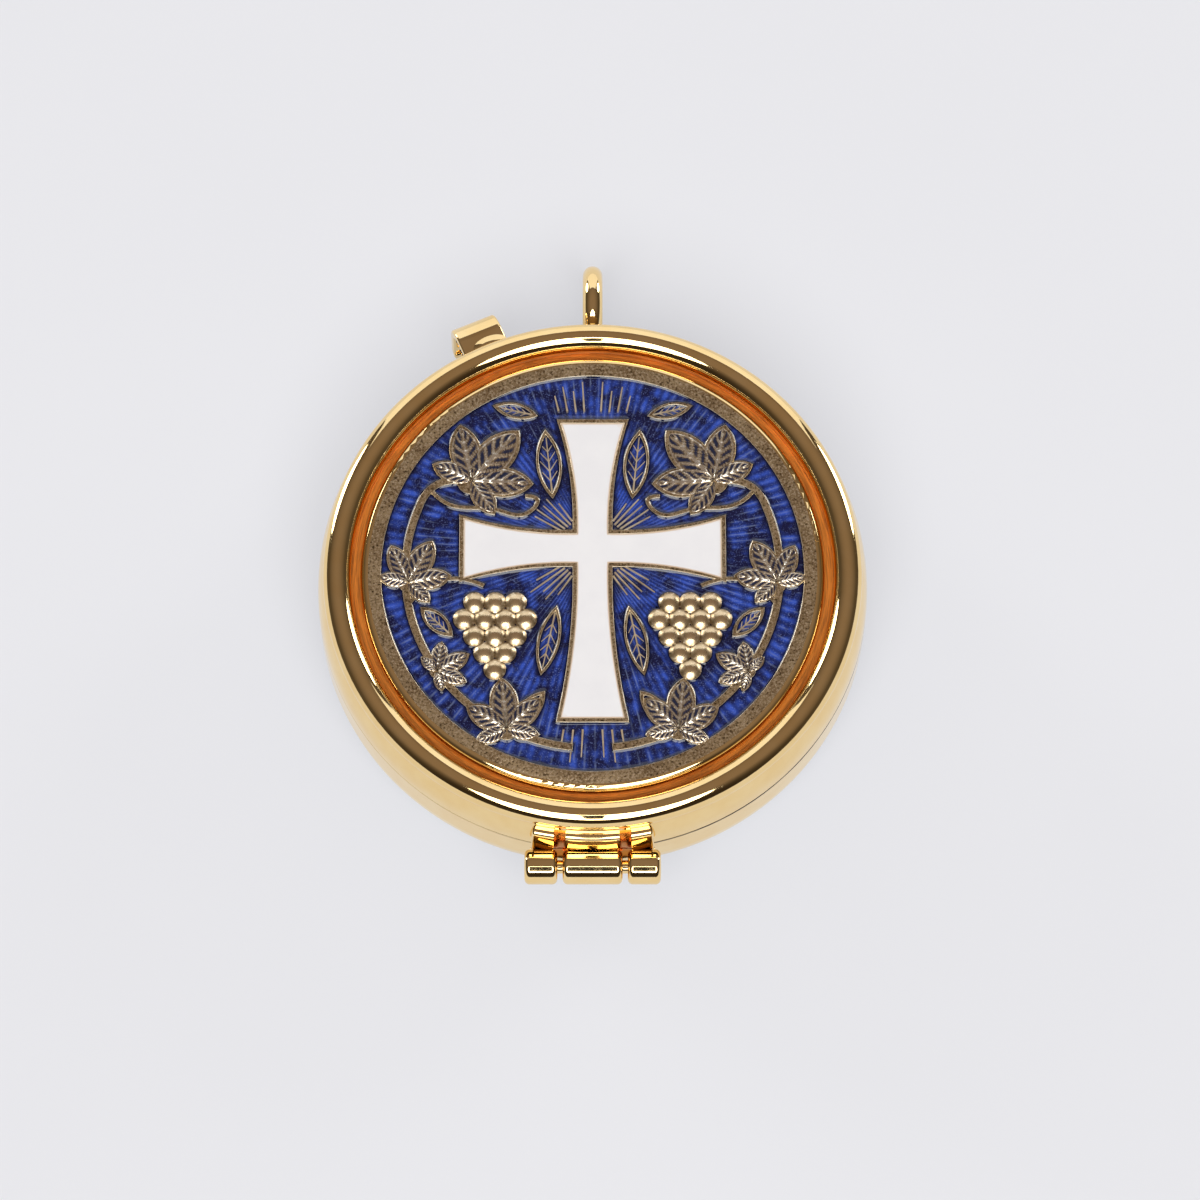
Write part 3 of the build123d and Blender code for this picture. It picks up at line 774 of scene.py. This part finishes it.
# %% [markdown]
# Fine wires of metal stand in the blue: a midrib and side veins in each outlined leaf, and rays that fan
# out from the cross. Each is a slim bar with a level top that narrows to its end. A four-sided cone laid
# flat on its side has just that shape, so one is made and copied with its own length, width and height.

# %% Veins and rays in the enamel
WIRE_Z = 13.7 * MM
WIRE_TALL = 0.52 * MM
MIDRIB_WIDE = 0.24 * MM
VEIN_WIDE = 0.15 * MM
RAY_WIDE = 0.26 * MM
VEIN_LEAN = 36.0
VEIN_PLACES = (0.26, 0.40, 0.54, 0.68)
# Leaf foot X and Y in mm, heading in degrees, length and width in mm, on the right side
OUTLINE_LEAVES = (
    (3.9, 7.6, 84, 7.4, 2.5), (3.5, -3.6, -78, 7.4, 2.2), (4.6, -12.4, -52, 5.0, 2.0),
    (5.4, 16.4, 14, 4.6, 1.7), (13.6, -6.8, 44, 4.4, 1.9),
)
# Turn from the cross centre in degrees, then start and end in mm, on the right side
CROSS_RAYS = (
    (31, 3.6, 6.6), (37, 3.4, 7.4), (43, 3.3, 6.6), (49, 3.3, 6.9), (55, 3.5, 5.8),
    (-31, 3.6, 6.4), (-37, 3.4, 7.6), (-43, 3.3, 6.6), (-49, 3.3, 7.0), (-55, 3.5, 5.9),
    (77.0, 14.9, 16.6), (80.25, 14.7, 17.4), (83.5, 14.5, 16.8), (86.75, 14.5, 17.7),
    (-81.5, 19.0, 21.0), (-84.3, 18.9, 22.2), (-87.1, 18.8, 21.6),
)


def lay_cone():
    """A tapered bar of length one along X, with its foot at the origin and a level top."""
    start_fresh()
    bpy.ops.mesh.primitive_cone_add(
        vertices=4, radius1=0.5, radius2=0.3, depth=1, rotation=(0, 0, math.pi / 4)
    )
    bpy.ops.object.transform_apply(location=True, rotation=True, scale=True)
    bpy.context.object.location.x = 0.5
    bpy.context.object.rotation_euler.y = math.pi / 2
    bpy.ops.object.transform_apply(location=True, rotation=True, scale=True)
    return bpy.context.object


def step_along(x, y, heading, distance):
    """The point of the plate at a distance from a place, in a heading."""
    turn = math.radians(heading)
    return Vector((x + distance * math.cos(turn), y + distance * math.sin(turn), WIRE_Z))


wire_places = []
for x, y, heading, length, width in OUTLINE_LEAVES:
    for foot_x, foot_y, middle in both_sides(x, y, heading):
        foot = step_along(foot_x, foot_y, middle, 0.1 * length * MM)
        wire_places.append((foot, middle, (0.8 * length * MM, MIDRIB_WIDE, WIRE_TALL)))
        for share in VEIN_PLACES:
            foot = step_along(foot_x, foot_y, middle, share * length * MM)
            room = length * arc_half_width(share + 0.08, width / length) - 0.4
            vein = (room / math.sin(math.radians(VEIN_LEAN)) * MM, VEIN_WIDE, 0.9 * WIRE_TALL)
            wire_places += [(foot, middle + side * VEIN_LEAN, vein) for side in (-1, 1)]
for turn, start, end in CROSS_RAYS:
    for centre_x, centre_y, middle in both_sides(0, CROSS_CENTRE / MM, turn):
        foot = step_along(centre_x, centre_y, middle, start * MM)
        wire_places.append((foot, middle, ((end - start) * MM, RAY_WIDE, WIRE_TALL)))
wires = set_copies(lay_cone(), "enamel_wires", wire_places)
wires.data.materials.append(bright_edge)
finish_piece(wires, "lid", "struck_metal", smooth_angle=20.0)

# %% [markdown]
# The latch strip and the ring are soldered on, and a little solder has run round each root. It is drawn as
# a half section with a hollow flank and spun, as a drop of metal settles, then stretched along its joint.
# A bevel between the pieces could do it too, but then they would be one mesh and could not move apart.

# %% Solder at the latch and the ring
def draw_line(name, points):
    """A new object with one open line of vertices, made by extruding a single vertex."""
    start_fresh()
    bpy.ops.mesh.primitive_plane_add(size=MM, location=(0, 0, 0))
    piece = bpy.context.object
    piece.name = name
    piece.data.name = name
    bpy.ops.object.mode_set(mode="EDIT")
    bpy.ops.mesh.select_mode(type="VERT")
    bpy.ops.mesh.select_all(action="SELECT")
    bpy.ops.mesh.merge(type="CENTER")
    bpy.ops.transform.translate(value=points[0])
    for last, point in zip(points, points[1:]):
        bpy.ops.mesh.extrude_region_move(TRANSFORM_OT_translate={"value": Vector(point) - Vector(last)})
    return piece


def run_solder(name, section, tilt, stretch, point):
    """A drop of solder from a half section in mm, tilted, stretched and set at a point."""
    piece = draw_line(name, [(out * MM, 0, up * MM) for out, up in section])
    bpy.ops.mesh.select_all(action="SELECT")
    bpy.ops.mesh.spin(steps=40, angle=math.tau, center=(0, 0, 0), axis=(0, 0, 1))
    bpy.ops.mesh.select_all(action="SELECT")
    bpy.ops.mesh.remove_doubles(threshold=MERGE)
    bpy.ops.mesh.normals_make_consistent(inside=False)
    bpy.ops.object.mode_set(mode="OBJECT")
    piece.scale = stretch
    piece.rotation_euler = tilt
    piece.location = point
    bpy.ops.object.transform_apply(location=True, rotation=True, scale=True)
    piece.data.materials.append(polished_gilt)
    return piece


LATCH_TURN = math.radians(23.4)
LATCH_TOP = 12.1 * MM
LATCH_ROOT = 26.85 * MM
SOLDER_SHIFT = 0.5 * MM
RING_ROOT = Vector((0, 26.95 * MM, 5.3 * MM))
root_out = Vector((-math.sin(LATCH_TURN), math.cos(LATCH_TURN), 0))
root_along = Vector((math.cos(LATCH_TURN), math.sin(LATCH_TURN), 0))
latch_drop = run_solder(
    "latch_solder",
    [(0, 0.36), (0.3, 0.34), (0.55, 0.26), (0.75, 0.14), (0.9, 0.05), (1.0, 0.0), (1.0, -0.2), (0, -0.2)],
    tilt=(0, 0, LATCH_TURN),
    stretch=(1.75, 0.9, 1.0),
    point=root_out * LATCH_ROOT + root_along * SOLDER_SHIFT + Vector((0, 0, LATCH_TOP)),
)
finish_piece(latch_drop, "latch", "polished_gilt", smooth_angle=60.0)
ring_drop = run_solder(
    "ring_solder",
    [(0, 1.0), (0.8, 0.95), (1.05, 0.6), (1.3, 0.28), (1.6, 0.1), (1.75, 0.04), (1.75, -0.5), (0, -0.5)],
    tilt=(-math.pi / 2, 0, 0),
    stretch=(0.9, 0.8, 1.0),
    point=RING_ROOT,
)
finish_piece(ring_drop, "base", "polished_gilt", smooth_angle=60.0)

# %% [markdown]
# The case lies on a pale sheet in a dim room. Mirror metal shows what stands round it, so the room is part
# of its look: the sheet gives the light gold of the walls, and the dim ceiling the brown of the bead. Light
# reflected by the gilt onto the sheet is left out, because it would tint the paper far more than it does.

# %% Pale sheet
SHEET_SIZE = 6.0
SHEET_GLOW = 0.55
PAPER_DARK = (0.29, 0.292, 0.30, 1)
PAPER_LIGHT = (0.31, 0.312, 0.32, 1)
PAPER_GLOW = (0.96, 0.97, 1.02, 1)
MOTTLE_SCALE = 30.0
start_fresh()
bpy.ops.mesh.primitive_plane_add(size=SHEET_SIZE, location=(0, 0, 0))
sheet = bpy.context.object
sheet.name = "pale_sheet"


def make_paper(name, glow):
    """Pale matt paper with a glow that only the camera and mirror metal see."""
    paper, tree, shader = new_material(name)
    mottle = noise_at(tree, object_place(tree), MOTTLE_SCALE, 2.0)
    tree.links.new(mix_colours(tree, mottle, PAPER_DARK, PAPER_LIGHT), shader["Base Color"])
    shader["Roughness"].default_value = 0.9
    shader["Specular IOR Level"].default_value = 0.1
    shader["Emission Color"].default_value = PAPER_GLOW
    seen = tree.nodes.new("ShaderNodeLightPath").outputs
    looked_at = math_node(tree, "MAXIMUM", seen["Is Camera Ray"], seen["Is Glossy Ray"])
    tree.links.new(math_node(tree, "MULTIPLY", looked_at, glow), shader["Emission Strength"])
    return paper


sheet.data.materials.append(make_paper("pale_paper", SHEET_GLOW))
bpy.context.scene.cycles.caustics_reflective = False
print("sheet", SHEET_SIZE, "m across")

# %% [markdown]
# Behind the ring stands a white board, which gives the pale band inside the near rim. It could be part of
# the sheet, swept up, but a flat board puts the upper end of that band exactly where it belongs.

# %% White board
BOARD_AWAY = 1.5
BOARD_TALL = 1.65
BOARD_WIDE = 2.2
BOARD_GLOW = 0.9
start_fresh()
bpy.ops.mesh.primitive_plane_add(
    size=1, location=(0, BOARD_AWAY, BOARD_TALL / 2), rotation=(math.pi / 2, 0, 0)
)
board = bpy.context.object
board.name = "white_board"
board.scale = (BOARD_WIDE, BOARD_TALL, 1)
bpy.ops.object.transform_apply(location=True, rotation=True, scale=True)
board.data.materials.append(make_paper("board_paper", BOARD_GLOW))
print("board", BOARD_WIDE, "by", BOARD_TALL, "m")

# %% [markdown]
# The room is a world colour that changes with height: pale at the edge of the table, dark behind the
# camera and a warm brown overhead. A picture of a studio would do the same, but needs a file to be read.

# %% Dim room
TABLE_EDGE = (0.42, 0.42, 0.44, 1)
ROOM_WALL = (0.085, 0.068, 0.052, 1)
ROOM_CEILING = (0.25, 0.19, 0.155, 1)
NEAR_WALL = (0.035, 0.026, 0.018, 1)
world = bpy.data.worlds.new("dim_room")
bpy.context.scene.world = world
world.use_nodes = True
tree = world.node_tree
rise = tree.nodes.new("ShaderNodeSeparateXYZ")
tree.links.new(tree.nodes.new("ShaderNodeTexCoord").outputs["Generated"], rise.inputs["Vector"])
above = mix_colours(tree, spread(tree, rise.outputs["Z"], 0.4, 0.95), ROOM_WALL, ROOM_CEILING)
around = mix_colours(tree, spread(tree, rise.outputs["Y"], -0.2, -0.7), above, NEAR_WALL)
room = mix_colours(tree, spread(tree, rise.outputs["Z"], 0.02, 0.06), TABLE_EDGE, around)
tree.links.new(room, tree.nodes["Background"].inputs["Color"])
print("world:", world.name)

# %% [markdown]
# One wide round softbox hangs beside the camera and two small ones stand behind at the sides. A round lamp
# gives the long highlights on the bead their pointed ends, where a square one would cut them off.

# %% Softboxes
AIM = Vector((0, 0, 9.25 * MM))
LIGHT_DISTANCE = 2.5


def add_softbox(name, azimuth, elevation, wide, tall, glow):
    """A softbox seen from the case at an azimuth east of south, with angles for its size."""
    turn, rise = math.radians(azimuth), math.radians(elevation)
    away = Vector((math.sin(turn) * math.cos(rise), -math.cos(turn) * math.cos(rise), math.sin(rise)))
    lamp = bpy.data.lights.new(name, "AREA")
    lamp.shape = "ELLIPSE"
    lamp.size = 2 * LIGHT_DISTANCE * math.tan(math.radians(wide) / 2)
    lamp.size_y = 2 * LIGHT_DISTANCE * math.tan(math.radians(tall) / 2)
    lamp.energy = glow * math.pi * lamp.size * lamp.size_y * math.pi / 4
    box = bpy.data.objects.new(name, lamp)
    bpy.context.collection.objects.link(box)
    box.location = AIM + away * LIGHT_DISTANCE
    box.rotation_euler = (-away).to_track_quat("-Z", "Y").to_euler()
    print(name, "gives", round(lamp.energy, 1), "W")


add_softbox("top_softbox", 0, 54, 52, 40, 6.1)
add_softbox("left_softbox", -129, 12, 19, 24, 8)
add_softbox("right_softbox", 129, 12, 19, 24, 8)

# %% [markdown]
# The camera stands well back and looks steeply down from the hinge side. A long lens keeps the circle of
# the case close to a true ellipse. The small shift only puts the case where it lies in the picture.

# %% Camera
CAMERA_ELEVATION = math.radians(69.15)
CAMERA_DISTANCE = 0.6
PIXELS_PER_MM = 10.166
PICTURE_PIXELS = 1200
AIM_PIXEL = (592.6, 588.1)
SENSOR = 36.0
camera_data = bpy.data.cameras.new("studio_camera")
camera_data.sensor_width = SENSOR
camera_data.lens = SENSOR * CAMERA_DISTANCE / (PICTURE_PIXELS / PIXELS_PER_MM * MM)
camera_data.shift_x = (PICTURE_PIXELS / 2 - AIM_PIXEL[0]) / PICTURE_PIXELS
camera_data.shift_y = (AIM_PIXEL[1] - PICTURE_PIXELS / 2) / PICTURE_PIXELS
camera = bpy.data.objects.new("studio_camera", camera_data)
bpy.context.collection.objects.link(camera)
away = Vector((0, -math.cos(CAMERA_ELEVATION), math.sin(CAMERA_ELEVATION)))
camera.location = AIM + away * CAMERA_DISTANCE
camera.rotation_euler = (-away).to_track_quat("-Z", "Y").to_euler()
bpy.context.scene.camera = camera
bpy.context.scene.view_settings.view_transform = "Standard"
print("lens", round(camera_data.lens, 1), "mm")

# %% [markdown]
# Mirror metal also shows who looks at it. A dark notch in both long highlights is the camera on its stand,
# in front of the softbox. A slim dark board just behind the camera gives it and stays out of the picture.

# %% Camera stand
STAND_AWAY = 0.68
STAND_RISE = math.radians(56)
STAND_SIZE = (0.05, 0.34)
FLECK_SCALE = 200.0
PAINT_DARK = (0.01, 0.01, 0.01, 1)
PAINT_LIGHT = (0.03, 0.028, 0.025, 1)
start_fresh()
stand_away = Vector((0, -math.cos(STAND_RISE), math.sin(STAND_RISE)))
bpy.ops.mesh.primitive_plane_add(size=1, location=AIM + stand_away * STAND_AWAY)
stand = bpy.context.object
stand.name = "camera_stand"
stand.scale = (*STAND_SIZE, 1)
stand.rotation_euler = camera.rotation_euler
bpy.ops.object.transform_apply(location=True, rotation=True, scale=True)
black_paint, tree, shader = new_material("black_paint")
fleck = noise_at(tree, object_place(tree), FLECK_SCALE, 2.0)
tree.links.new(mix_colours(tree, fleck, PAINT_DARK, PAINT_LIGHT), shader["Base Color"])
stand.data.materials.append(black_paint)
print("stand", STAND_SIZE, "m")
